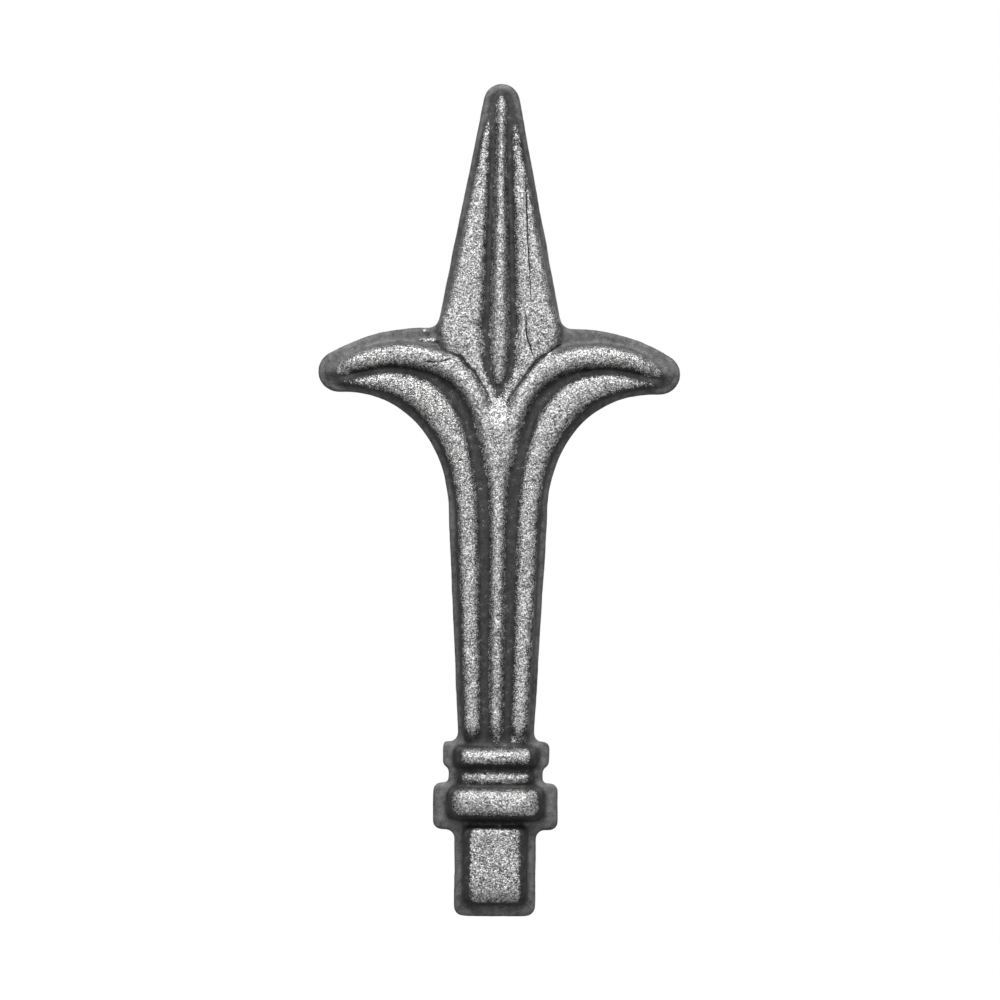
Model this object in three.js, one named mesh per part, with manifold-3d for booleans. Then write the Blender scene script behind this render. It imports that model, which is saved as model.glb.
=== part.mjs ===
// Spear finial for the top of a fence picket: a drop forging in one piece, with a thin trimmed flash all
// round its parting plane and the same relief on both faces.
// Millimetres, +Z up, front face towards -Y, origin at the middle of the tang's end face.
import * as THREE from "three";
import { mergeVertices } from "three/addons/utils/BufferGeometryUtils.js";
import Module from "manifold-3d";

const wasm = await Module();
wasm.setup();

// Driving dimensions. Widths run along X, heights along Z, and a "crest" is half a thickness along Y.
const totalHeight = 143.4;
const flashThickness = 2.6;

const tang = {
  halfWidth: 7,
  cornerRadius: 1.7,
  topFillet: 1.5,
  blockHalfWidth: 5.6,
  blockFoot: 1.5,
  blockTop: 15.4,
  crest: 5,
  footTaper: 0.7,
  footRound: 0.6,
};
const lowerCollar = { bottom: 14.9, top: 23, halfWidth: 10.75, cornerRadius: 1.4 };
const neck = { halfWidth: 8.1, fillet: 0.5 };
const upperCollar = { bottom: 25.6, top: 30.1, halfWidth: 9.2, cornerRadius: 1 };
const stem = {
  footHalfWidth: 6.55,
  head: 69.1,
  headHalfWidth: 8.5,
  fillet: 1.4,
  floorFoot: 13,
  carvingFoot: 30.3,
};

// Each leaf: a long sweep below, a little fuller than an ellipse, a round tip, and one arc along the top
// that is tangent to the tip.
const leaf = { tipRadius: 3.5, tipCentre: [27.7, 93.6], topRadius: 31.5, topCentre: [12.93, 69.8] };
const leafTopHeight = leaf.topCentre[1] + leaf.topRadius;
const leafSweep = {
  centre: [leaf.tipCentre[0] - 1, stem.head],
  width: leaf.tipCentre[0] - 1 - stem.headHalfWidth,
  height: leaf.tipCentre[1] - leaf.tipRadius - stem.head,
  power: 2.1,
};

const blade = { tipRadius: 3.1, baseHalfWidth: 10.7, baseFillet: 2 };

// Raised bars across the shank: middle height, half width along Z, half length along X, crest, and how flat
// the top of the bar's section is.
const collarBars = [
  { height: 19.6, halfWidth: 3, halfLength: 8.7, crest: 6.8, square: 4.4 },
  { height: 23.9, halfWidth: 1.3, halfLength: 7, crest: 5.2, square: 3.2 },
  { height: 27.5, halfWidth: 2, halfLength: 7.7, crest: 6.2, square: 2.8 },
];
const barEnd = { planPower: 10, planRoot: 0.3, crestPower: 6, crestRoot: 0.6, least: 0.15 };

// Raised forms of the relief. Each follows a line in the XZ plane, in pieces that are straight (2 points),
// quadratic (3) or cubic (4). Its half width and crest are given at shares of the way along, and the paired
// forms are mirrored on the left half.
const stemFloor = {
  line: [[[0, stem.floorFoot], [0, 86]]],
  halfWidth: [[0, 4.8], [0.2, 4.6], [1, 6]],
  crest: [[0, 3.4], [0.2, 3.7], [0.3, 3.9], [1, 3.7]],
  square: 8,
  steps: 5,
  sides: 8,
};
const stemRib = {
  line: [[[0, stem.carvingFoot], [0, 89.8]]],
  halfWidth: [
    [0, 1.1], [0.04, 1.5], [0.5, 1.6], [0.65, 1.8], [0.75, 2.1],
    [0.82, 2.6], [0.89, 3.2], [0.95, 2.5], [0.98, 1.5], [1, 0.5],
  ],
  crest: [[0, 3.4], [0.04, 5.1], [0.9, 5], [0.96, 4.3], [1, 3.3]],
  square: 3.6,
  steps: 16,
  sides: 12,
};
const bladeFloor = {
  line: [[[0, 88], [0, totalHeight - 2.4]]],
  halfWidth: [[0, 1.5], [0.08, 3], [0.18, 8], [0.25, 9.6], [1, 2.2]],
  crest: [[0, 3.2], [0.3, 2.65], [0.9, 2], [1, 1.5]],
  square: 5,
  steps: 12,
  sides: 8,
};
const bladeRib = {
  line: [[[0, 90.8], [0, totalHeight - 1.8]]],
  halfWidth: [
    [0, 0.3], [0.03, 1.1], [0.065, 1.7], [0.13, 2], [0.2, 2.05],
    [0.34, 1.8], [0.63, 1.4], [0.9, 1], [0.97, 1], [1, 0.6],
  ],
  crest: [[0, 3.4], [0.05, 4], [0.15, 4.3], [0.4, 4.2], [0.9, 3.1], [1, 1.9]],
  square: 2.6,
  steps: 16,
  sides: 10,
};
const bladeLobe = {
  line: [[[0.9, 88.8], [1.6, 92.7], [8.9, 98.4], [6, 104]], [[6, 104], [2.15, 138]]],
  halfWidth: [
    [0, 0.7], [0.05, 0.9], [0.08, 1], [0.12, 1.5], [0.16, 2.5], [0.21, 3.9],
    [0.25, 4.15], [0.32, 3.7], [0.6, 2.35], [0.87, 1.2], [1, 0.5],
  ],
  crest: [[0, 3.7], [0.35, 3.7], [0.75, 3.15], [0.92, 2.6], [1, 1.7]],
  square: 6,
  steps: 18,
  sides: 12,
};
const leafFloor = {
  line: [[[2.1, 64], [2.5, 88], [8, 94.6], [19.7, 94.6]], [[19.7, 94.6], [24, 94.6], [28, 92.8]]],
  halfWidth: [[0, 2], [0.4, 2.6], [0.85, 2], [1, 0.7]],
  crest: [[0, 3.6], [0.3, 3.2], [0.6, 2.8], [1, 1.5]],
  square: 6,
  steps: 12,
  sides: 8,
};
const leafLobe = {
  line: [
    [[3.95, stem.carvingFoot], [5.1, 66]],
    [[5.1, 66], [5.35, 81.3], [9.8, 92.4], [22, 91.9]],
    [[22, 91.9], [27.8, 91.8]],
  ],
  halfWidth: [
    [0, 1.3], [0.03, 1.9], [0.38, 2.15], [0.58, 2.3], [0.68, 2.8],
    [0.74, 3.3], [0.8, 3.3], [0.87, 2.6], [0.93, 1.6], [1, 0.7],
  ],
  crest: [[0, 3.4], [0.03, 4.9], [0.5, 4.8], [0.75, 4.6], [0.93, 3.5], [1, 1.6]],
  square: 4.2,
  steps: 28,
  sides: 14,
};
const leafRidge = {
  line: [
    [[0.6, 72], [1.4, 89.3], [5.6, 96.2], [16.8, 96.5]],
    [[16.8, 96.5], [23.4, 96.5], [28.4, 93.2]],
  ],
  halfWidth: [[0, 0.8], [0.2, 1.9], [0.4, 2.15], [0.6, 2.4], [0.75, 2.3], [0.9, 1.8], [1, 0.9]],
  crest: [[0, 4.2], [0.2, 4.9], [0.6, 4.7], [0.9, 3.4], [1, 1.6]],
  square: 3.8,
  steps: 24,
  sides: 12,
};

const material = new THREE.MeshStandardMaterial({ color: 0x6a6a6a, roughness: 0.55, metalness: 0.9 });

const degrees = THREE.MathUtils.degToRad;

// Points of an arc about (x, z), from one angle to another in degrees, anticlockwise unless told otherwise.
function arc(x, z, radiusX, radiusZ, from, to, steps, clockwise = false) {
  const curve = new THREE.EllipseCurve(x, z, radiusX, radiusZ, degrees(from), degrees(to), clockwise);
  return curve.getPoints(steps);
}

// Tang, collars and the foot of the stem, right half, from the bottom up.
function shankOutline() {
  const tangCorner = tang.cornerRadius;
  const lowCorner = lowerCollar.cornerRadius;
  const highCorner = upperCollar.cornerRadius;
  const tangTop = lowerCollar.bottom - tang.topFillet;
  const neckEdge = neck.halfWidth + neck.fillet;
  const stemEdge = stem.footHalfWidth + stem.fillet;
  const lowSide = lowerCollar.halfWidth - lowCorner;
  const highSide = upperCollar.halfWidth - highCorner;
  return [
    new THREE.Vector2(0, 0),
    ...arc(tang.halfWidth - tangCorner, tangCorner, tangCorner, tangCorner, -90, 0, 5),
    ...arc(tang.halfWidth + tang.topFillet, tangTop, tang.topFillet, tang.topFillet, 180, 90, 4, true),
    ...arc(lowSide, lowerCollar.bottom + lowCorner, lowCorner, lowCorner, -90, 0, 4),
    ...arc(lowSide, lowerCollar.top - lowCorner, lowCorner, lowCorner, 0, 90, 4),
    ...arc(neckEdge, lowerCollar.top + neck.fillet, neck.fillet, neck.fillet, 270, 180, 3, true),
    ...arc(neckEdge, upperCollar.bottom - neck.fillet, neck.fillet, neck.fillet, 180, 90, 3, true),
    ...arc(highSide, upperCollar.bottom + highCorner, highCorner, highCorner, -90, 0, 4),
    ...arc(highSide, upperCollar.top - highCorner, highCorner, highCorner, 0, 90, 4),
    ...arc(stemEdge, upperCollar.top + stem.fillet, stem.fillet, stem.fillet, 270, 180, 4, true),
  ];
}

// The stem's edge and the sweep under the leaf, a superellipse, right half.
function sweepOutline(steps) {
  const { centre, width, height, power } = leafSweep;
  return Array.from({ length: steps + 1 }, (_, step) => {
    const angle = degrees((90 * step) / steps);
    const x = centre[0] - width * Math.cos(angle) ** (2 / power);
    const z = centre[1] + height * Math.sin(angle) ** (2 / power);
    return new THREE.Vector2(x, z);
  });
}

// The sweep, the leaf's tip and its top edge, right half.
function leafOutline() {
  const [tipX, tipZ] = leaf.tipCentre;
  const [topX, topZ] = leaf.topCentre;
  const join = THREE.MathUtils.radToDeg(Math.atan2(tipZ - topZ, tipX - topX));
  return [
    ...sweepOutline(18),
    ...arc(tipX, tipZ, leaf.tipRadius, leaf.tipRadius, -90, join, 12),
    ...arc(topX, topZ, leaf.topRadius, leaf.topRadius, join, 90, 10),
  ];
}

// Half width of the blade at its straight edge, which runs from the leaf's top to the round tip.
const bladeRise = totalHeight - blade.tipRadius - leafTopHeight;
const bladeLean = Math.atan2(blade.baseHalfWidth - blade.tipRadius, bladeRise);
function bladeEdge(height) {
  return blade.baseHalfWidth - (height - leafTopHeight) * Math.tan(bladeLean);
}

// The fillet above the leaf, the blade's straight edge and its round tip, right half.
function bladeOutline() {
  const lean = THREE.MathUtils.radToDeg(bladeLean);
  const filletHeight = leafTopHeight + blade.baseFillet;
  const filletX = bladeEdge(filletHeight) + blade.baseFillet / Math.cos(bladeLean);
  return [
    ...arc(filletX, filletHeight, blade.baseFillet, blade.baseFillet, 270, 180 + lean, 5, true),
    ...arc(0, totalHeight - blade.tipRadius, blade.tipRadius, blade.tipRadius, lean, 90, 7),
  ];
}

// The trimmed flash: the whole outline as a thin plate about the parting plane.
function flashPlate() {
  const right = [...shankOutline(), ...leafOutline(), ...bladeOutline()];
  const left = right.slice(1, -1).reverse().map((point) => new THREE.Vector2(-point.x, point.y));
  const shape = new THREE.Shape([...right, ...left]);
  const plate = new THREE.ExtrudeGeometry(shape, { depth: flashThickness, bevelEnabled: false });
  return plate.rotateX(Math.PI / 2).translate(0, flashThickness / 2, 0);
}

// A value along a bead, read off [share of the way, value] stations by a smooth curve with no overshoot.
function along(stations) {
  const rise = stations.slice(1).map(([at, value], i) => (value - stations[i][1]) / (at - stations[i][0]));
  const slopes = stations.map((_, i) => {
    const before = rise[Math.max(i - 1, 0)];
    const after = rise[Math.min(i, rise.length - 1)];
    return before * after > 0 ? (2 * before * after) / (before + after) : 0;
  });
  return (share) => {
    const next = Math.max(1, stations.findIndex(([at]) => at >= share));
    const [from, low] = stations[next - 1];
    const [to, high] = stations[next];
    const length = to - from;
    const part = (share - from) / length;
    const rest = 1 - part;
    const start = low * (1 + 2 * part) + slopes[next - 1] * length * part;
    const end = high * (1 + 2 * rest) - slopes[next] * length * rest;
    return start * rest ** 2 + end * part ** 2;
  };
}

const signedPower = (value, power) => Math.sign(value) * Math.abs(value) ** power;

// A closed bead along a line in the XZ plane, alike on both faces. Its section is a superellipse: "square"
// sets how flat its top is, and "crown" how round its shoulders are.
function bead({ spine, steps, sides, halfWidth, crest, square, crown = 2 }) {
  const corners = [];
  for (let step = 0; step <= steps; step++) {
    const share = step / steps;
    const middle = spine.getPointAt(share);
    const ahead = spine.getTangentAt(share);
    for (let side = 0; side < sides; side++) {
      const angle = (2 * Math.PI * side) / sides;
      const across = halfWidth(share) * signedPower(Math.cos(angle), 2 / square);
      const out = crest(share) * signedPower(Math.sin(angle), 2 / crown);
      corners.push(middle.x + ahead.y * across, out, middle.y - ahead.x * across);
    }
  }
  const start = spine.getPointAt(0);
  const end = spine.getPointAt(1);
  corners.push(start.x, 0, start.y, end.x, 0, end.y);
  const faces = [];
  const lastRing = steps * sides;
  const startCorner = lastRing + sides;
  for (let side = 0; side < sides; side++) {
    const next = (side + 1) % sides;
    for (let ring = 0; ring < lastRing; ring += sides) {
      faces.push(ring + side, ring + next, ring + sides + next);
      faces.push(ring + side, ring + sides + next, ring + sides + side);
    }
    faces.push(startCorner, next, side);
    faces.push(startCorner + 1, lastRing + side, lastRing + next);
  }
  const geometry = new THREE.BufferGeometry();
  geometry.setAttribute("position", new THREE.Float32BufferAttribute(corners, 3));
  return geometry.setIndex(faces);
}

// A line of straight, quadratic and cubic pieces, for the right half (side 1) or the left (side -1).
function carvingLine(pieces, side) {
  const kinds = { 2: THREE.LineCurve, 3: THREE.QuadraticBezierCurve, 4: THREE.CubicBezierCurve };
  const path = new THREE.CurvePath();
  for (const piece of pieces) {
    path.add(new kinds[piece.length](...piece.map(([x, z]) => new THREE.Vector2(x * side, z))));
  }
  return path;
}

function reliefForm(form, side) {
  const spine = carvingLine(form.line, side);
  return bead({ ...form, spine, halfWidth: along(form.halfWidth), crest: along(form.crest) });
}

// The tang's raised block, which ends in a narrow groove under the lower collar.
function tangBlock() {
  const { blockHalfWidth, blockFoot, blockTop, crest, footTaper, footRound } = tang;
  return bead({
    spine: carvingLine([[[0, blockFoot], [0, blockTop]]], 1),
    halfWidth: along([[0, blockHalfWidth - footTaper], [0.11, blockHalfWidth], [1, blockHalfWidth]]),
    crest: along([[0, flashThickness / 2], [0.12, crest - footRound], [0.25, crest], [1, crest]]),
    square: 7,
    crown: 4,
    steps: 8,
    sides: 16,
  });
}

// One raised bar across a collar, rounded off at both ends.
function collarBar({ height, halfWidth, halfLength, crest, square }) {
  const { planPower, planRoot, crestPower, crestRoot, least } = barEnd;
  const fromMiddle = (share) => Math.abs(2 * share - 1);
  return bead({
    spine: carvingLine([[[-halfLength, height], [halfLength, height]]], 1),
    halfWidth: (share) => halfWidth * (1 - fromMiddle(share) ** planPower) ** planRoot + least,
    crest: (share) => crest * (1 - fromMiddle(share) ** crestPower) ** crestRoot + least,
    square,
    steps: 12,
    sides: 14,
  });
}

function toSolid(geometry) {
  const bare = geometry.index ? geometry : geometry.deleteAttribute("normal").deleteAttribute("uv");
  const merged = mergeVertices(bare, 1e-4);
  const vertProperties = merged.getAttribute("position").array;
  const triVerts = new Uint32Array(merged.index.array);
  return new wasm.Manifold(new wasm.Mesh({ numProp: 3, vertProperties, triVerts }));
}

function toGeometry(solid) {
  const mesh = solid.getMesh();
  const geometry = new THREE.BufferGeometry();
  geometry.setAttribute("position", new THREE.BufferAttribute(mesh.vertProperties, 3));
  return geometry.setIndex(new THREE.BufferAttribute(mesh.triVerts, 1));
}

const single = [stemFloor, bladeFloor, stemRib, bladeRib];
const paired = [leafFloor, bladeLobe, leafLobe, leafRidge];
const forms = [
  flashPlate(),
  tangBlock(),
  ...collarBars.map(collarBar),
  ...single.map((form) => reliefForm(form, 1)),
  ...paired.flatMap((form) => [reliefForm(form, -1), reliefForm(form, 1)]),
];
const forging = forms.map(toSolid).reduce((whole, form) => whole.add(form));

const finial = new THREE.Group();
const body = new THREE.Mesh(toGeometry(forging), material);
body.name = "finial";
finial.add(body);

export default finial;
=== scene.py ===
import math
import time
from functools import partial

import bpy
import numpy as np
from mathutils import Matrix, Vector, noise
from mathutils.kdtree import KDTree


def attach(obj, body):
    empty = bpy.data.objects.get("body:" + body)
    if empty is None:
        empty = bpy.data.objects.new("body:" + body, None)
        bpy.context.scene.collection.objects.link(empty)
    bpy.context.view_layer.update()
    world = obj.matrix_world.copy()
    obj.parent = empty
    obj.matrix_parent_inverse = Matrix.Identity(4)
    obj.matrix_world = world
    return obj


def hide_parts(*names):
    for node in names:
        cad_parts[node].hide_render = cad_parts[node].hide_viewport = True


startTime = time.time()
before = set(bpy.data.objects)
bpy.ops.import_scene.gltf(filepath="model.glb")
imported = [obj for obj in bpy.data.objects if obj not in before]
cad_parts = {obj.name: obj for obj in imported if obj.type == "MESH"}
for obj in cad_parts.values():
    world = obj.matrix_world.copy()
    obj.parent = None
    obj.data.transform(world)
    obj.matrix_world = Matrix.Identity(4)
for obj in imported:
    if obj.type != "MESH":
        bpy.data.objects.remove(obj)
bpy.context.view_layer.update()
scene = bpy.context.scene


def report(*stage):
    print(*stage, round(time.time() - startTime, 1), "s")


# Lines and sections, all worked out in millimetres and scaled to metres at the end

def signedPower(value, power):
    return np.sign(value) * np.abs(value) ** power


def arcPoints(centre, radiusX, radiusZ, fromDegrees, toDegrees, steps=24, power=2):
    # an arc of an ellipse, or of a fuller superellipse at a higher power
    angles = np.radians(np.linspace(fromDegrees, toDegrees, steps + 1))
    across = signedPower(np.cos(angles), 2 / power)
    up = signedPower(np.sin(angles), 2 / power)
    return np.column_stack((centre[0] + radiusX * across, centre[1] + radiusZ * up))


def bezierPoints(points, steps=80):
    # de Casteljau, so that 2, 3 or 4 points give a straight, quadratic or cubic piece
    share = np.linspace(0, 1, steps + 1)[:, None]
    level = [np.asarray(point, float)[None, :].repeat(steps + 1, 0) for point in points]
    while len(level) > 1:
        level = [a * (1 - share) + b * share for a, b in zip(level, level[1:])]
    return level[0]


def resampled(points, spacing):
    # evenly spaced points along a line, with doubled points dropped first
    keep = np.append(True, np.linalg.norm(np.diff(points, axis=0), axis=1) > 1e-6)
    points = points[keep]
    run = np.append(0, np.cumsum(np.linalg.norm(np.diff(points, axis=0), axis=1)))
    at = np.linspace(0, run[-1], max(2, round(run[-1] / spacing) + 1))
    return np.column_stack((np.interp(at, run, points[:, 0]), np.interp(at, run, points[:, 1])))


def along(stations, share):
    # smooth curve through the stations that never overshoots them
    at = np.array([s[0] for s in stations], float)
    value = np.array([s[1] for s in stations], float)
    rise = np.diff(value) / np.diff(at)
    before = np.append(rise[0], rise)
    after = np.append(rise, rise[-1])
    same = before * after > 0
    slope = np.where(same, 2 * before * after / np.where(same, before + after, 1), 0)
    i = np.clip(np.searchsorted(at, share) - 1, 0, len(rise) - 1)
    length = at[i + 1] - at[i]
    part = (share - at[i]) / length
    rest = 1 - part
    begin = value[i] * (1 + 2 * part) + slope[i] * length * part
    end = value[i + 1] * (1 + 2 * rest) - slope[i + 1] * length * rest
    return begin * rest ** 2 + end * part ** 2


def smoothStep(value, low, high):
    part = np.clip((value - low) / (high - low), 0, 1)
    return part * part * (3 - 2 * part)


# The finial's forms: widths along X, heights along Z, and a crest is half a thickness along Y
finial = {
    "height": 143.4,
    "flash": 2.6,  # thickness of the trimmed flash at the parting plane
    "tang": {"half": 7, "corner": 1.7, "fillet": 1.5},
    "tangBlock": {"half": 5.6, "foot": 1.5, "top": 15.4, "crest": 5, "footTaper": 0.7, "footRound": 0.6,
                  "square": 7, "crown": 4},
    "lowerCollar": {"bottom": 14.9, "top": 23, "half": 10.75, "corner": 1.4},
    "neck": {"half": 8.1, "fillet": 0.5},
    "upperCollar": {"bottom": 25.6, "top": 30.1, "half": 9.2, "corner": 1},
    "stem": {"footHalf": 6.55, "head": 69.1, "headHalf": 8.5, "fillet": 1.4, "carvingFoot": 30.3},
    "leaf": {"tipRadius": 3.5, "tipCentre": (27.7, 93.6), "topRadius": 31.5, "topCentre": (12.93, 69.8),
             "sweepInset": 1, "sweepPower": 2.1},
    "blade": {"tipRadius": 3.1, "baseHalf": 10.7, "baseFillet": 2},
    "collarBars": [
        {"height": 19.6, "half": 3, "length": 8.7, "crest": 6.8, "square": 4.4},
        {"height": 23.9, "half": 1.3, "length": 7, "crest": 5.2, "square": 3.2},
        {"height": 27.5, "half": 2, "length": 7.7, "crest": 6.2, "square": 2.8},
    ],
    "barEnd": {"planPower": 10, "planRoot": 0.3, "crestPower": 6, "crestRoot": 0.6, "least": 0.15},
    "plateStep": 0.3,
    "beadStep": 0.4,
    "barStep": 0.25,
    "beadSides": 64,
    "voxel": 0.345,
    "seed": 11.7,
}
carvingFoot = finial["stem"]["carvingFoot"]

# Raised forms: the line they follow, then half width, crest and width of the bright top at shares of the
# way; the bright top is worn metal and painted highlight.
# Paired ones are mirrored on the left half.
reliefForms = {
    "stemFloor": {
        "line": [[(0, 13), (0, 86)]],
        "half": [(0, 4.8), (0.2, 4.6), (1, 6)],
        "crest": [(0, 3.4), (0.2, 3.7), (0.3, 3.9), (1, 3.7)],
        "square": 8,
    },
    "stemRib": {
        "line": [[(0, carvingFoot), (0, 89.8)]],
        "half": [(0, 1.1), (0.04, 1.5), (0.5, 1.6), (0.65, 1.8), (0.75, 2.1), (0.82, 2.6), (0.89, 3.2),
                 (0.95, 2.5), (0.98, 1.5), (1, 0.5)],
        "crest": [(0, 3.4), (0.04, 5.1), (0.9, 5), (0.96, 4.3), (1, 3.3)],
        "square": 3.6,
        "wornAndLit": [(0, 0.2), (0.04, 0.9), (0.3, 1.05), (0.55, 1.05), (0.64, 1.2), (0.73, 1.45), (0.79, 1.7),
                 (0.87, 2.5), (0.9, 2.75), (0.95, 2), (0.98, 0.8), (1, -0.4)],
    },
    "bladeFloor": {
        "line": [[(0, 88), (0, 141)]],
        "half": [(0, 1.5), (0.08, 3), (0.18, 8), (0.25, 9.6), (1, 2.2)],
        "crest": [(0, 3.2), (0.3, 2.65), (0.9, 2), (1, 1.5)],
        "square": 5,
    },
    "bladeRib": {
        "line": [[(0, 90.8), (0, 141.6)]],
        "half": [(0, 0.3), (0.03, 1.1), (0.065, 1.7), (0.13, 2), (0.2, 2.05), (0.34, 1.8), (0.63, 1.4),
                 (0.9, 1), (0.97, 1), (1, 0.6)],
        "crest": [(0, 3.4), (0.05, 4), (0.15, 4.3), (0.4, 4.2), (0.9, 3.1), (1, 1.9)],
        "square": 2.6,
        "wornAndLit": [(0, -0.5), (0.03, 0.4), (0.065, 1), (0.13, 1.45), (0.2, 1.55), (0.34, 1.3), (0.63, 0.95),
                 (0.9, 0.6), (0.96, 0.85), (0.99, 0.7), (1, 0.3)],
    },
    "bladeLobe": {
        "line": [[(0.9, 88.8), (1.6, 92.7), (8.9, 98.4), (6, 104)], [(6, 104), (2.15, 138)]],
        "half": [(0, 0.7), (0.05, 0.9), (0.08, 1), (0.12, 1.5), (0.16, 2.5), (0.21, 3.9), (0.25, 4.15),
                 (0.32, 3.7), (0.6, 2.35), (0.87, 1.2), (1, 0.5)],
        "crest": [(0, 3.7), (0.35, 3.7), (0.75, 3.15), (0.92, 2.6), (1, 1.7)],
        "square": 6,
        "wornAndLit": [(0, 0.35), (0.05, 0.5), (0.08, 0.55), (0.12, 1), (0.16, 1.95), (0.21, 3.2), (0.25, 3.4),
                 (0.32, 3), (0.6, 1.7), (0.78, 0.9), (0.88, 0.45), (0.95, 0.1), (1, -0.4)],
        "paired": True,
    },
    "leafFloor": {
        "line": [[(2.1, 64), (2.5, 88), (8, 94.6), (19.7, 94.6)], [(19.7, 94.6), (24, 94.6), (28, 92.8)]],
        "half": [(0, 2), (0.4, 2.6), (0.85, 2), (1, 0.7)],
        "crest": [(0, 3.6), (0.3, 3.2), (0.6, 2.8), (1, 1.5)],
        "square": 6,
        "paired": True,
    },
    "leafLobe": {
        "line": [
            [(3.95, carvingFoot), (5.1, 66)],
            [(5.1, 66), (5.35, 81.3), (9.8, 92.4), (22, 91.9)],
            [(22, 91.9), (27.8, 91.8)],
        ],
        "half": [(0, 1.3), (0.03, 1.9), (0.38, 2.15), (0.58, 2.3), (0.68, 2.8), (0.74, 3.3), (0.8, 3.3),
                 (0.87, 2.6), (0.93, 1.6), (1, 0.7)],
        "crest": [(0, 3.4), (0.03, 4.9), (0.5, 4.8), (0.75, 4.6), (0.93, 3.5), (1, 1.6)],
        "square": 4.2,
        "wornAndLit": [(0, -0.5), (0.012, 0.1), (0.025, 0.7), (0.04, 1.05), (0.15, 1.15), (0.3, 1.28), (0.43, 1.4),
                 (0.57, 1.5), (0.62, 1.6), (0.68, 1.9), (0.73, 2.3), (0.78, 2.4), (0.85, 1.7), (0.92, 0.9),
                 (0.96, 0.1), (1, -0.3)],
        "paired": True,
    },
    "leafRidge": {
        "line": [
            [(0.6, 72), (1.4, 89.3), (5.6, 96.2), (16.8, 96.5)],
            [(16.8, 96.5), (23.4, 96.5), (28.4, 93.2)],
        ],
        "half": [(0, 0.8), (0.2, 1.9), (0.4, 2.15), (0.6, 2.4), (0.75, 2.3), (0.9, 1.8), (1, 0.9)],
        "crest": [(0, 4.2), (0.2, 4.9), (0.6, 4.7), (0.9, 3.4), (1, 1.6)],
        "square": 3.8,
        "wornAndLit": [(0, 0.1), (0.2, 1.5), (0.4, 1.75), (0.6, 1.8), (0.75, 1.55), (0.9, 1.2), (0.97, 0.95),
                 (1, 0.6)],
        "paired": True,
    },
    "collarSpur": {  # left by the trimming on one corner of the upper collar
        "line": [[(-8.9, 29.5), (-8.4, 30.05)]],
        "half": [(0, 0.35), (1, 0.35)],
        "crest": [(0, 1.2), (1, 1.2)],
        "square": 2,
    },
}


def finialOutline(spacing):
    # right half from the middle of the tang's end to the tip, then the left half back down
    tang, low, neck, high = finial["tang"], finial["lowerCollar"], finial["neck"], finial["upperCollar"]
    stem, leaf, blade = finial["stem"], finial["leaf"], finial["blade"]
    leafTop = leaf["topCentre"][1] + leaf["topRadius"]
    tipZ = finial["height"] - blade["tipRadius"]
    lean = math.atan2(blade["baseHalf"] - blade["tipRadius"], tipZ - leafTop)
    leanDegrees = math.degrees(lean)
    filletZ = leafTop + blade["baseFillet"]
    filletX = blade["baseHalf"] - blade["baseFillet"] * math.tan(lean) + blade["baseFillet"] / math.cos(lean)
    toTip = np.subtract(leaf["tipCentre"], leaf["topCentre"])
    join = math.degrees(math.atan2(toTip[1], toTip[0]))
    sweepX = leaf["tipCentre"][0] - leaf["sweepInset"]
    sweepHeight = leaf["tipCentre"][1] - leaf["tipRadius"] - stem["head"]

    def corner(x, z, radius, fromDegrees, toDegrees):
        return arcPoints((x, z), radius, radius, fromDegrees, toDegrees)

    right = np.vstack((
        [(0, 0)],
        corner(tang["half"] - tang["corner"], tang["corner"], tang["corner"], -90, 0),
        corner(tang["half"] + tang["fillet"], low["bottom"] - tang["fillet"], tang["fillet"], 180, 90),
        corner(low["half"] - low["corner"], low["bottom"] + low["corner"], low["corner"], -90, 0),
        corner(low["half"] - low["corner"], low["top"] - low["corner"], low["corner"], 0, 90),
        corner(neck["half"] + neck["fillet"], low["top"] + neck["fillet"], neck["fillet"], 270, 180),
        corner(neck["half"] + neck["fillet"], high["bottom"] - neck["fillet"], neck["fillet"], 180, 90),
        corner(high["half"] - high["corner"], high["bottom"] + high["corner"], high["corner"], -90, 0),
        corner(high["half"] - high["corner"], high["top"] - high["corner"], high["corner"], 0, 90),
        corner(stem["footHalf"] + stem["fillet"], high["top"] + stem["fillet"], stem["fillet"], 270, 180),
        arcPoints((sweepX, stem["head"]), sweepX - stem["headHalf"], sweepHeight, 180, 90, 80,
                  leaf["sweepPower"]),
        corner(*leaf["tipCentre"], leaf["tipRadius"], -90, join),
        corner(*leaf["topCentre"], leaf["topRadius"], join, 90),
        corner(filletX, filletZ, blade["baseFillet"], 270, 180 + leanDegrees),
        corner(0, tipZ, blade["tipRadius"], leanDegrees, 90),
    ))
    right = resampled(right, spacing)
    left = right[1:-1][::-1] * (-1, 1)
    return np.vstack((right, left))


class Parts:
    # collects the closed forms that the finial is melted together from
    def __init__(self):
        self.points = []
        self.faces = []

    def add(self, points, faces):
        start = sum(len(p) for p in self.points)
        self.points.append(np.asarray(points, float))
        self.faces += [tuple(start + corner for corner in face) for face in faces]


def addPlate(parts, outline, thickness):
    count = len(outline)
    front = np.insert(outline, 1, -thickness / 2, axis=1)
    back = np.insert(outline, 1, thickness / 2, axis=1)
    faces = [tuple(range(count)), tuple(range(2 * count - 1, count - 1, -1))]
    faces += [((i + 1) % count, i, count + i, count + (i + 1) % count) for i in range(count)]
    parts.add(np.vstack((front, back)), faces)


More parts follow.
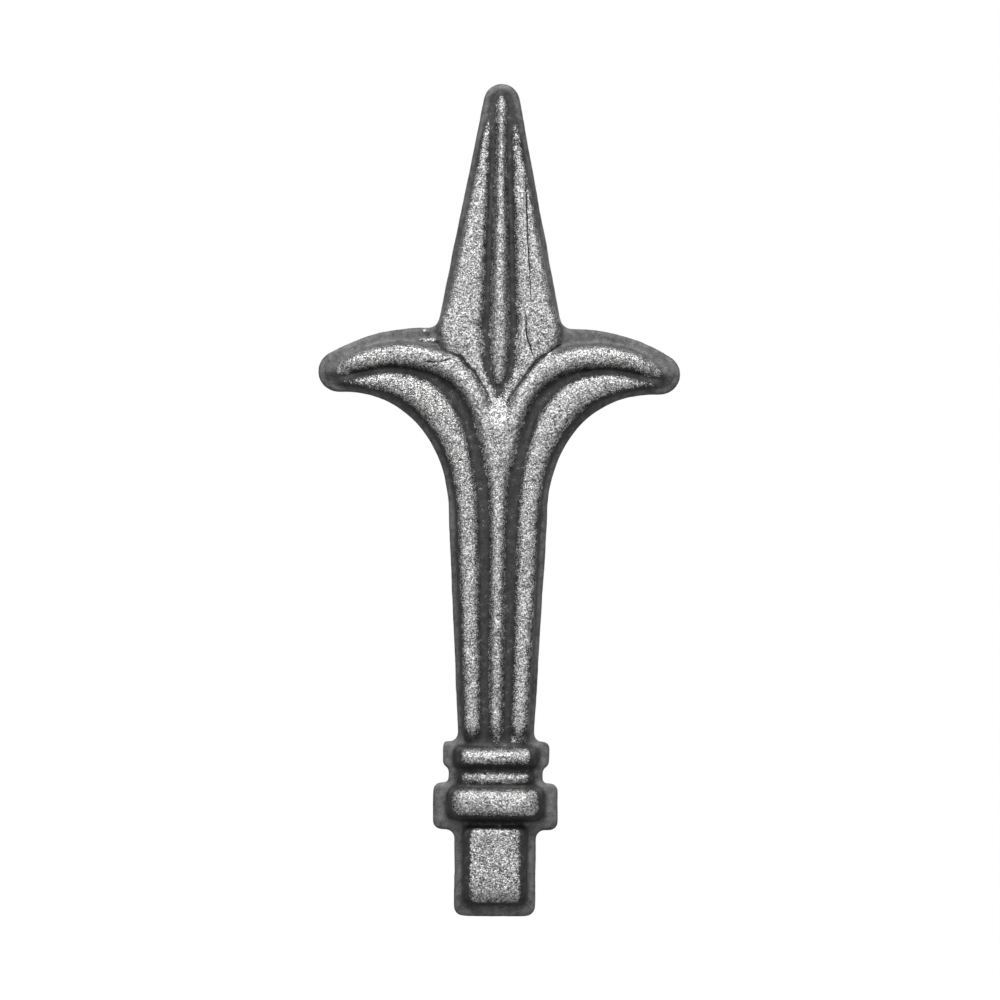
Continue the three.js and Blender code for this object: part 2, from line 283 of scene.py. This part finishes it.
def addBead(parts, line, half, crest, square, crown=2, step=finial["beadStep"]):
    # a closed bead of superelliptic section, alike on both faces
    sides = finial["beadSides"]
    middle = resampled(line, step)
    share = np.linspace(0, 1, len(middle))
    ahead = np.gradient(middle, axis=0)
    ahead /= np.linalg.norm(ahead, axis=1)[:, None]
    angle = np.linspace(0, 2 * math.pi, sides, endpoint=False)
    across = signedPower(np.cos(angle), 2 / square)
    out = signedPower(np.sin(angle), 2 / crown)
    reach = half(share)[:, None] * across
    rings = np.stack((
        middle[:, :1] + ahead[:, 1:] * reach,
        crest(share)[:, None] * out,
        middle[:, 1:] - ahead[:, :1] * reach,
    ), axis=2).reshape(-1, 3)
    faces = []
    last = (len(middle) - 1) * sides
    for ring in range(0, last, sides):
        for side in range(sides):
            after = (side + 1) % sides
            faces.append((ring + side, ring + after, ring + sides + after, ring + sides + side))
    faces.append(tuple(range(sides - 1, -1, -1)))
    faces.append(tuple(range(last, last + sides)))
    parts.add(rings, faces)


def formLines(form):
    line = np.vstack([bezierPoints(piece) for piece in form["line"]])
    return [line, line * (-1, 1)] if form.get("paired") else [line]


def addTangBlock(parts):
    block = finial["tangBlock"]
    half = [(0, block["half"] - block["footTaper"]), (0.11, block["half"]), (1, block["half"])]
    crest = [(0, finial["flash"] / 2), (0.12, block["crest"] - block["footRound"]), (0.25, block["crest"]),
             (1, block["crest"])]
    line = bezierPoints([(0, block["foot"]), (0, block["top"])])
    addBead(parts, line, partial(along, half), partial(along, crest), block["square"], block["crown"])


def addCollarBar(parts, bar):
    end = finial["barEnd"]

    def half(share):
        runOut = 1 - np.abs(2 * share - 1) ** end["planPower"]
        return bar["half"] * runOut ** end["planRoot"] + end["least"]

    def crest(share):
        runOut = 1 - np.abs(2 * share - 1) ** end["crestPower"]
        return bar["crest"] * runOut ** end["crestRoot"] + end["least"]

    line = bezierPoints([(-bar["length"], bar["height"]), (bar["length"], bar["height"])])
    addBead(parts, line, half, crest, bar["square"], step=finial["barStep"])


def collectForms():
    parts = Parts()
    addPlate(parts, finialOutline(finial["plateStep"]), finial["flash"])
    for form in reliefForms.values():
        for line in formLines(form):
            addBead(parts, line, partial(along, form["half"]), partial(along, form["crest"]), form["square"])
    addTangBlock(parts)
    for bar in finial["collarBars"]:
        addCollarBar(parts, bar)
    return parts


def meltTogether(parts):
    # a fine remesh fuses the overlapping forms into one closed skin
    rough = bpy.data.meshes.new("roughForging")
    rough.from_pydata(np.vstack(parts.points).tolist(), [], parts.faces)
    holder = bpy.data.objects.new("roughForging", rough)
    scene.collection.objects.link(holder)
    remesh = holder.modifiers.new("melt", "REMESH")
    remesh.mode = "VOXEL"
    remesh.voxel_size = finial["voxel"]
    remesh.adaptivity = 0
    bpy.context.view_layer.update()
    fused = bpy.data.meshes.new_from_object(holder.evaluated_get(bpy.context.evaluated_depsgraph_get()))
    bpy.data.objects.remove(holder)
    bpy.data.meshes.remove(rough)
    return fused


# Forged surface, worked out point by point: fillets, sandy grain, laps, burrs and worn tops, which carry
# painted highlight beside painted shade.
# Pairs are the values between which an effect sets in, and heights are over the flash.
surface = {
    "edgePasses": 3,  # smoothing of the trimmed flash
    "filletPasses": 5,  # further smoothing of the raised forms
    "filletRise": (-0.1, 0.9),
    "grain": [(1.1, 0.05), (0.5, 0.05)],  # cycles per mm and height in mm, on the worn tops
    "grooveGrain": 0.25,  # how much of that grain the grooves have
    "flashGrain": [(0.25, 0.08), (0.9, 0.03)],
    "burrGrain": [(0.8, 1)],
    "burrShine": (0.05, 0.3),
    "wornAndLitFade": 0.75,
    "wornAndLitRise": (0.3, 0.8),
    "sideShadeFacing": (0.08, 0.32),  # how squarely a face looks to the front or back; steeper faces stay dark as painted shade
    "facingPasses": 2,
    "panelCrispness": 1.6,  # flat panels run out over a shorter way than rounded tops
    "flashRise": (0, 1.5),
    "rim": 0.95,  # width of the pale flash along the tips, inside which the tips carry painted shadow
    "rimFade": 0.35,
    "bladeTip": (122, 132),  # heights
    "leafTip": (19, 25),  # distances from the middle
    "slopeFade": 0.8,
    "slopeFoot": 97,  # heights between which the blade's outer slopes are painted pale, as painted light
    "slopeEnd": (126, 136),
    "lapFold": (0.1, 0.5),  # distances over which the fold beside a lap levels out
    "lapDepth": 0.2,
    "lapFull": 0.2,  # half width of a lap that lies in a full fold
    "lapWander": 0.12,
    "wanderCycles": 1.3,
    "lapWidth": (0.9, 0.6),  # share of the drawn width, and how far it wavers
    "lapReach": 1,
    "lineStep": 0.4,
    "markStep": 0.1,
    "edgeStep": 0.25,
    "batch": 4000,
}
farAway = 9.0  # beyond the reach of any mark

# Flat tops that wore bright; on the collar bars they sit on the upper halves as painted highlight where
# light from above falls: middle, half length, half height and corner radius
wornAndLitPanels = [
    {"x": 0, "z": 8.95, "halfX": 4.15, "halfZ": 6.2, "corner": 0.8},
    {"x": 0, "z": 19.9, "halfX": 7.2, "halfZ": 2.1, "corner": 1.2},
    {"x": 0, "z": 23.95, "halfX": 5.5, "halfZ": 0.75, "corner": 0.5},
    {"x": 0, "z": 27.8, "halfX": 5.7, "halfZ": 1.2, "corner": 0.8},
    {"x": 3.9, "z": 30.7, "halfX": 1.3, "halfZ": 0.5, "corner": 0.45},
    {"x": -9.9, "z": 98.9, "halfX": 1, "halfZ": 0.8, "corner": 0.7},
    {"x": 9.9, "z": 98.9, "halfX": 1, "halfZ": 0.8, "corner": 0.7},
]

# Thin laps that the forging left on the front face; the two long ones also carry painted shade of the valley
# beside them: half widths at shares of the way, and the line's (x, z)
hairline = [(0, 0.04), (0.2, 0.16), (0.8, 0.16), (1, 0.04)]
lapsAndValleyShade = [
    {
        "half": [(0, 0.1), (0.15, 0.22), (0.38, 0.42), (0.5, 0.34), (0.75, 0.2), (1, 0.04)],
        "line": [(-10.6, 98.8), (-10, 97.6), (-8.2, 96.9), (-6.8, 96.4), (-5.7, 94.9), (-4.2, 93.9),
                 (-3.3, 92.2), (-2.3, 90.6), (-1.5, 88.9)],
    },
    {
        "half": [(0, 0.1), (0.2, 0.28), (0.4, 0.46), (0.55, 0.3), (0.8, 0.2), (1, 0.04)],
        "line": [(10.6, 98.6), (8.5, 97.2), (6.6, 95.9), (4.6, 93.6), (3.1, 91.4), (1.5, 88.9)],
    },
    {
        "half": [(0, 0.08), (0.2, 0.2), (0.5, 0.15), (1, 0.04)],
        "line": [(4.3, 127), (4.5, 121.2), (4.7, 115.9), (5.2, 109.7), (5.3, 105.7)],
    },
    {"half": hairline, "line": [(4.5, 103.8), (4.5, 100.2), (5.1, 98.6), (5.9, 96.4)]},
    {"half": hairline, "line": [(-12.9, 95.3), (-10.4, 95.3), (-8.2, 96)]},
]

# Ragged burrs on the front of the flash
burrs = [
    {"half": 0.4, "height": 0.45, "line": [(-13.6, 99.2), (-12.3, 99), (-10.8, 99.2)]},
    {"half": 0.35, "height": 0.35, "line": [(-12.9, 100.8), (-12.2, 100.4)]},
]


class Skin:
    # a mesh's points with their neighbours, for smoothing and measuring
    def __init__(self, mesh):
        self.mesh = mesh
        count = len(mesh.vertices)
        self.at = np.empty(count * 3)
        mesh.vertices.foreach_get("co", self.at)
        self.at = self.at.reshape(-1, 3)
        edges = np.empty(len(mesh.edges) * 2, np.int64)
        mesh.edges.foreach_get("vertices", edges)
        edges = edges.reshape(-1, 2)
        self.near = np.concatenate((edges[:, 0], edges[:, 1]))
        self.far = np.concatenate((edges[:, 1], edges[:, 0]))
        self.degree = np.bincount(self.near, minlength=count)

    def average(self, value):
        return np.bincount(self.near, weights=value[self.far], minlength=len(self.degree)) / self.degree

    def blurred(self, value, passes, share=0.5):
        for _ in range(passes):
            value = value + share * (self.average(value) - value)
        return value

    def smooth(self, passes, weight=1.0):
        for axis in range(3):
            self.at[:, axis] = self.blurred(self.at[:, axis], passes, 0.5 * weight)

    def write(self):
        self.mesh.vertices.foreach_set("co", self.at.ravel())
        self.mesh.update()

    def normals(self):
        self.write()
        values = np.empty(self.at.size)
        self.mesh.vertices.foreach_get("normal", values)
        return values.reshape(-1, 3)


def sandNoise(points, layers):
    shift = Vector((finial["seed"], -finial["seed"], 2 * finial["seed"]))
    total = np.zeros(len(points))
    for cycles, height in layers:
        total += height * np.array([noise.noise(Vector(p) * cycles + shift) for p in points])
    return total


def smoothLine(points, rounds=3):
    # cuts the corners of a given line
    line = np.array(points, float)
    for _ in range(rounds):
        cut = np.empty((2 * len(line) - 2, 2))
        cut[0::2] = 0.75 * line[:-1] + 0.25 * line[1:]
        cut[1::2] = 0.25 * line[:-1] + 0.75 * line[1:]
        line = np.vstack((line[:1], cut, line[-1:]))
    return line


def nearBox(flat, line, margin):
    return np.all((flat > line.min(0) - margin) & (flat < line.max(0) + margin), axis=1)


def lapLines(points):
    # signed distance to the nearest lap, and how wide that lap is there
    gap = np.full(len(points), farAway)
    width = np.zeros(len(points))
    flat = points[:, ::2]
    front = points[:, 1] < 0
    cycles, reach = surface["wanderCycles"], surface["lapReach"]
    wide, waver = surface["lapWidth"]
    for lapAndValleyShade in lapsAndValleyShade:
        line = resampled(smoothLine(lapAndValleyShade["line"]), surface["markStep"])
        wander = np.array([noise.noise(Vector((x * cycles, finial["seed"], z * cycles))) for x, z in line])
        line = line + surface["lapWander"] * wander[:, None]
        ahead = np.gradient(line, axis=0)
        close = np.flatnonzero(front & nearBox(flat, line, 2 * reach))
        away = flat[close][:, None] - line[None]
        nearest = np.linalg.norm(away, axis=2).argmin(1)
        away = away[np.arange(len(close)), nearest]
        side = np.sign(ahead[nearest, 0] * away[:, 1] - ahead[nearest, 1] * away[:, 0])
        signed = side * np.linalg.norm(away, axis=1)
        half = along(lapAndValleyShade["half"], nearest / (len(line) - 1)) * (wide + waver * wander[nearest])
        nearer = np.abs(signed) < np.abs(gap[close])
        gap[close[nearer]] = signed[nearer]
        width[close[nearer]] = (half * (np.abs(signed) < reach))[nearer]
    return gap, width


def burrRise(points):
    flat = points[:, ::2]
    rise = np.zeros(len(points))
    for burr in burrs:
        line = resampled(np.array(burr["line"], float), surface["markStep"])
        gap = np.linalg.norm(flat[:, None] - line[None], axis=2).min(1)
        rise = np.maximum(rise, burr["height"] * (1 - smoothStep(gap, 0, burr["half"])))
    return rise * (points[:, 1] < 0)


def edgeDistance(points):
    # how far in from the outline each point lies
    outline = finialOutline(surface["edgeStep"])
    tree = KDTree(len(outline))
    for i, (x, z) in enumerate(outline):
        tree.insert((x, 0, z), i)
    tree.balance()
    return np.array([tree.find((x, 0, z))[2] for x, z in points[:, ::2]])


def overFlash(points, low, high):
    level = finial["flash"] / 2
    return smoothStep(np.abs(points[:, 1]), level + low, level + high)


def panelReach(flat, panel):
    # distance outside a rectangle with round corners
    size = np.array((panel["halfX"], panel["halfZ"])) - panel["corner"]
    beyond = np.abs(flat - (panel["x"], panel["z"])) - size
    outside = np.linalg.norm(np.maximum(beyond, 0), axis=1)
    return outside + np.minimum(beyond.max(1), 0) - panel["corner"]


def wornAndLitReach(points):
    # distance outside the nearest worn top with painted highlight, negative within it
    flat = points[:, ::2]
    reach = np.full(len(points), farAway)
    for form in reliefForms.values():
        for line in formLines(form) if "wornAndLit" in form else []:
            line = resampled(line, surface["lineStep"])
            width = along(form["wornAndLit"], np.linspace(0, 1, len(line)))
            close = np.flatnonzero(nearBox(flat, line, width.max() + 1))
            for some in np.array_split(close, len(close) // surface["batch"] + 1):
                gap = np.linalg.norm(flat[some][:, None] - line[None], axis=2) - width
                reach[some] = np.minimum(reach[some], gap.min(1))
    for panel in wornAndLitPanels:
        reach = np.minimum(reach, panelReach(flat, panel) * surface["panelCrispness"])
    return reach


def wornAndLitMask(skin, normals):
    # the bright tops, without the flash and steep sides: worn metal with painted highlight, while the steep
    # sides and grooves left out are painted shade
    facing = np.abs(skin.blurred(normals[:, 1], surface["facingPasses"]))
    fade = surface["wornAndLitFade"]
    wornAndLit = 1 - smoothStep(wornAndLitReach(skin.at), -fade, fade)
    return wornAndLit * (overFlash(skin.at, *surface["wornAndLitRise"]) * smoothStep(facing, *surface["sideShadeFacing"]))


def aboveRidge(points):
    ridge = resampled(formLines(reliefForms["leafRidge"])[0], surface["lineStep"])
    ridgeHeight = np.interp(np.abs(points[:, 0]), ridge[:, 0], ridge[:, 1])
    return smoothStep(points[:, 2] - ridgeHeight, 0, surface["slopeFade"])


def paintedSlopeLight(points):
    # the blade's and leaves' slopes towards the flash are painted as pale as the flash, a painted light
    # where they catch the broad light
    lobe = resampled(formLines(reliefForms["bladeLobe"])[0], surface["lineStep"])
    lobe = lobe[lobe[:, 1] > surface["slopeFoot"]]
    besideLobe = np.abs(points[:, 0]) - np.interp(points[:, 2], lobe[:, 1], lobe[:, 0])
    belowTip = 1 - smoothStep(points[:, 2], *surface["slopeEnd"])
    return aboveRidge(points) * smoothStep(besideLobe, 0, surface["slopeFade"]) * belowTip


def flashAndPaintedLightMask(points):
    # the pale flash and the painted light of the outer slopes; round the tips only a rim stays pale, and
    # inside it the valleys and undersides of the lobes carry painted shadow
    flash = np.maximum(1 - overFlash(points, *surface["flashRise"]), paintedSlopeLight(points))
    bladeTip = smoothStep(points[:, 2], *surface["bladeTip"])
    leafTip = smoothStep(np.abs(points[:, 0]), *surface["leafTip"]) * (1 - aboveRidge(points))
    rim, fade = surface["rim"], surface["rimFade"]
    pastRim = smoothStep(edgeDistance(points), rim - fade, rim + fade)
    return flash * (1 - np.maximum(bladeTip, leafTip) * pastRim)


def forgeSurface(mesh):
    skin = Skin(mesh)
    skin.smooth(surface["edgePasses"])
    skin.smooth(surface["filletPasses"], overFlash(skin.at, *surface["filletRise"]))
    normals = skin.normals()
    # bright tops: worn metal and painted highlight, with steep sides and grooves left as painted shade
    wornAndLit = wornAndLitMask(skin, normals)
    # flash colour, with painted light on the outer slopes and painted shadow at the tips
    flash = flashAndPaintedLightMask(skin.at)
    lapGap, lapWidth = lapLines(skin.at)
    fold = 1 - smoothStep(np.abs(lapGap), *surface["lapFold"])
    fold *= smoothStep(lapWidth, 0, surface["lapFull"])
    burr = burrRise(skin.at) * (1 + sandNoise(skin.at, surface["burrGrain"]))
    wornAndLit = np.maximum(wornAndLit, smoothStep(burr, *surface["burrShine"]))
    groove = surface["grooveGrain"]
    sand = sandNoise(skin.at, surface["grain"]) * (groove + (1 - groove) * wornAndLit)
    sand += sandNoise(skin.at, surface["flashGrain"])
    skin.at += normals * (sand + burr - surface["lapDepth"] * fold)[:, None]
    skin.at *= 0.001  # millimetres to metres
    skin.write()
    for name, value in (("wornAndLit", wornAndLit), ("flash", flash), ("lapGap", lapGap), ("lapWidth", lapWidth)):
        attribute = mesh.attributes.new(name, "FLOAT", "POINT")
        attribute.data.foreach_set("value", value.astype(np.float32))


def makeFinial():
    mesh = meltTogether(collectForms())
    report("forms melted together", len(mesh.vertices), "points")
    forgeSurface(mesh)
    mesh.name = "finialSkin"
    for polygon in mesh.polygons:
        polygon.use_smooth = True
    piece = bpy.data.objects.new("forgedFinial", mesh)
    scene.collection.objects.link(piece)
    report("finial", sum(len(p.vertices) - 2 for p in mesh.polygons), "triangles")
    return piece


# Raw forged steel: dark scale in the grooves, which also stands for painted shade there, grey flash, sandy
# bright tops.
# Each colour has its place on the noise that it is read off.
steel = {
    "scaleAndShade": [(0.36, (0.012, 0.012, 0.013)), (0.6, (0.047, 0.047, 0.048)), (0.7, (0.25, 0.25, 0.25))],
    "flash": [(0.39, (0.05, 0.05, 0.051)), (0.61, (0.185, 0.185, 0.185))],
    "tops": [(0.35, (0.045, 0.045, 0.045)), (0.55, (0.28, 0.28, 0.278)), (0.76, (0.9, 0.9, 0.895))],
    "noises": {  # cycles per metre, detail, roughness
        "grain": (4700, 2, 0.6),
        "patch": (900, 2, 0.55),
        "tone": (110, 3, 0.5),
    },
    "gritCycles": 4500,
    "sparkle": {"grain": 0.7, "grit": 0.28, "patch": 0.16},
    "specks": {"patch": 0.5, "grain": 0.5},
    "mottle": {"tone": 0.25, "specks": 0.75},
    "breakUp": {"grain": 0.55, "patch": 0.25},  # how far grains move the edge of a worn top with painted highlight
    "breakUpFrom": 0.25,  # value of the worn tops with painted highlight at which that is at its full
    "noiseRange": (0.3, 0.7),
    "wornAndLitEdge": (0.32, 0.72),
    "lapEdge": (0.6, 1.4),
    "leastLap": 0.001,
    "metallic": (0.3, 0.95),  # on the scale with its painted shade, on the worn tops with their painted highlight
    "roughness": (0.58, 0.42),
    "bumpHeight": 0.00016,
    "bumpStrength": (0.7, 1),
}


def makeSteel():
    material = bpy.data.materials.new("forgedSteel")
    material.use_nodes = True
    nodes, links = material.node_tree.nodes, material.node_tree.links
    shader = nodes["Principled BSDF"]
    coordinates = nodes.new("ShaderNodeTexCoord").outputs["Object"]

    def noiseAt(cycles, detail, roughness):
        node = nodes.new("ShaderNodeTexNoise")
        node.inputs["Scale"].default_value = cycles
        node.inputs["Detail"].default_value = detail
        node.inputs["Roughness"].default_value = roughness
        links.new(coordinates, node.inputs["Vector"])
        return node.outputs["Fac"]

    def attribute(name):
        node = nodes.new("ShaderNodeAttribute")
        node.attribute_name = name
        return node.outputs["Fac"]

    def ramp(value, stops):
        node = nodes.new("ShaderNodeValToRGB")
        while len(node.color_ramp.elements) < len(stops):
            node.color_ramp.elements.new(0.5)
        for element, (position, colour) in zip(node.color_ramp.elements, stops):
            element.position = position
            element.color = (*colour, 1)
        links.new(value, node.inputs["Fac"])
        return node.outputs["Color"]

    def mapped(value, low, high, toLow=0.0, toHigh=1.0):
        node = nodes.new("ShaderNodeMapRange")
        for name, number in (("From Min", low), ("From Max", high), ("To Min", toLow), ("To Max", toHigh)):
            node.inputs[name].default_value = number
        links.new(value, node.inputs["Value"])
        return node.outputs["Result"]

    def maths(operation, a, b):
        node = nodes.new("ShaderNodeMath")
        node.operation = operation
        for socket, value in zip(node.inputs, (a, b)):
            if isinstance(value, (int, float)):
                socket.default_value = value
            else:
                links.new(value, socket)
        return node.outputs["Value"]

    def weighted(values, weights):
        terms = [maths("MULTIPLY", values[name], weight) for name, weight in weights.items()]
        total = terms[0]
        for term in terms[1:]:
            total = maths("ADD", total, term)
        return total

    def mixed(factor, a, b):
        node = nodes.new("ShaderNodeMix")
        node.data_type = "RGBA"
        links.new(factor, node.inputs["Factor"])
        links.new(a, node.inputs["A"])
        links.new(b, node.inputs["B"])
        return node.outputs["Result"]

    noises = {name: noiseAt(*values) for name, values in steel["noises"].items()}
    grit = nodes.new("ShaderNodeTexVoronoi")
    grit.inputs["Scale"].default_value = steel["gritCycles"]
    links.new(coordinates, grit.inputs["Vector"])
    facet = nodes.new("ShaderNodeSeparateColor")
    links.new(grit.outputs["Color"], facet.inputs["Color"])
    noises["grit"] = facet.outputs["Red"]
    noises["specks"] = weighted(noises, steel["specks"])

    # the bright tops, worn metal with painted highlight, break up into grains where they run out
    wearAndLight = attribute("wornAndLit")
    shifts = []
    for name, shift in steel["breakUp"].items():
        shifts.append(mapped(noises[name], *steel["noiseRange"], -shift, shift))
    breakUp = maths("MULTIPLY", maths("ADD", *shifts), mapped(wearAndLight, 0, steel["breakUpFrom"]))
    wornAndLit = mapped(maths("ADD", wearAndLight, breakUp), *steel["wornAndLitEdge"])

    # a lap is dark where its distance is less than its width; along the two long laps this dark is also
    # painted shade of the valley
    lapWidth = maths("MAXIMUM", attribute("lapWidth"), steel["leastLap"])
    lapGap = maths("ABSOLUTE", attribute("lapGap"), 0)
    lapAndValleyShade = mapped(maths("DIVIDE", lapGap, lapWidth), *steel["lapEdge"], 1, 0)

    # dark scale colour: oxide, and painted shade in the grooves, laps and tip valleys
    scaleAndShadeColour = ramp(noises["specks"], steel["scaleAndShade"])
    flashColour = ramp(weighted(noises, steel["mottle"]), steel["flash"])
    topColour = ramp(weighted(noises, steel["sparkle"]), steel["tops"])
    colour = mixed(attribute("flash"), scaleAndShadeColour, flashColour)
    colour = mixed(wornAndLit, colour, topColour)
    colour = mixed(lapAndValleyShade, colour, scaleAndShadeColour)
    links.new(colour, shader.inputs["Base Color"])
    links.new(mapped(wornAndLit, 0, 1, *steel["metallic"]), shader.inputs["Metallic"])
    links.new(mapped(wornAndLit, 0, 1, *steel["roughness"]), shader.inputs["Roughness"])

    bump = nodes.new("ShaderNodeBump")
    bump.inputs["Distance"].default_value = steel["bumpHeight"]
    links.new(noises["grain"], bump.inputs["Height"])
    links.new(mapped(wornAndLit, 0, 1, *steel["bumpStrength"]), bump.inputs["Strength"])
    links.new(bump.outputs["Normal"], shader.inputs["Normal"])
    return material


# Studio, in metres: white surround, a broad soft light from the front, weak fill and a light on the back
studio = {
    "aim": (0.00032, 0, 0.07172),
    "field": 0.17241,  # width of the picture at the finial
    "lens": 200,
    "sensor": 36,
    "clipStart": 0.01,
    "roll": 0.51,  # the finial leans a little in the picture
    "surround": 0.34,
    "lights": {
        "key": {"size": (2.2, 1.3), "at": (-0.07, -1.4, 1.8), "power": 70},
        "fill": {"size": (1.2, 1.2), "at": (0.1, -1.3, -0.05), "power": 2.6},
        "back": {"size": (1.5, 1.2), "at": (0.1, 1.3, 0.5), "power": 16},
    },
    "floorDrop": 0.35,
    "floorReach": 4,
    "floorPaint": (0.8, 0.8, 0.8, 1),
}
white = (1, 1, 1, 1)


def aimAt(obj, target, roll=0.0):
    direction = Vector(target) - obj.location
    turn = direction.to_track_quat("-Z", "Y").to_matrix().to_4x4()
    turn = turn @ Matrix.Rotation(math.radians(roll), 4, "Z")
    obj.rotation_euler = turn.to_euler()


def makeCamera():
    data = bpy.data.cameras.new("camera")
    data.lens = studio["lens"]
    data.sensor_width = studio["sensor"]
    data.clip_start = studio["clipStart"]
    camera = bpy.data.objects.new("camera", data)
    distance = studio["field"] * studio["lens"] / studio["sensor"]
    camera.location = Vector(studio["aim"]) - Vector((0, distance, 0))
    aimAt(camera, studio["aim"], studio["roll"])
    scene.collection.objects.link(camera)
    scene.camera = camera


def makeLights():
    for name, values in studio["lights"].items():
        lamp = bpy.data.lights.new(name, "AREA")
        lamp.shape = "RECTANGLE"
        lamp.size, lamp.size_y = values["size"]
        lamp.energy = values["power"]
        light = bpy.data.objects.new(name, lamp)
        light.location = values["at"]
        aimAt(light, studio["aim"])
        scene.collection.objects.link(light)


def makeSurround():
    # white to the camera, dimmer as a light
    world = bpy.data.worlds.new("studio")
    world.use_nodes = True
    scene.world = world
    nodes, links = world.node_tree.nodes, world.node_tree.links
    background = nodes["Background"]
    rays = nodes.new("ShaderNodeLightPath")
    strength = nodes.new("ShaderNodeMapRange")
    strength.inputs["To Min"].default_value = studio["surround"]
    strength.inputs["To Max"].default_value = 1
    links.new(rays.outputs["Is Camera Ray"], strength.inputs["Value"])
    links.new(strength.outputs["Result"], background.inputs["Strength"])
    background.inputs["Color"].default_value = white


def makeFloor():
    reach, drop = studio["floorReach"], -studio["floorDrop"]
    corners = [(-reach, -reach, drop), (reach, -reach, drop), (reach, reach, drop), (-reach, reach, drop)]
    floorMesh = bpy.data.meshes.new("floor")
    floorMesh.from_pydata(corners, [], [(0, 1, 2, 3)])
    paint = bpy.data.materials.new("floorWhite")
    paint.use_nodes = True
    shader = paint.node_tree.nodes["Principled BSDF"]
    shader.inputs["Base Color"].default_value = studio["floorPaint"]
    shader.inputs["Emission Color"].default_value = white
    shader.inputs["Emission Strength"].default_value = 1
    floorMesh.materials.append(paint)
    floor = bpy.data.objects.new("floor", floorMesh)
    floor.visible_diffuse = False
    floor.visible_glossy = False
    scene.collection.objects.link(floor)


piece = makeFinial()
piece.data.materials.append(makeSteel())
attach(piece, "root")
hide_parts("finial")
report("steel ready")

makeCamera()
makeLights()
makeSurround()
makeFloor()
scene.view_settings.view_transform = "Standard"
report("studio ready")
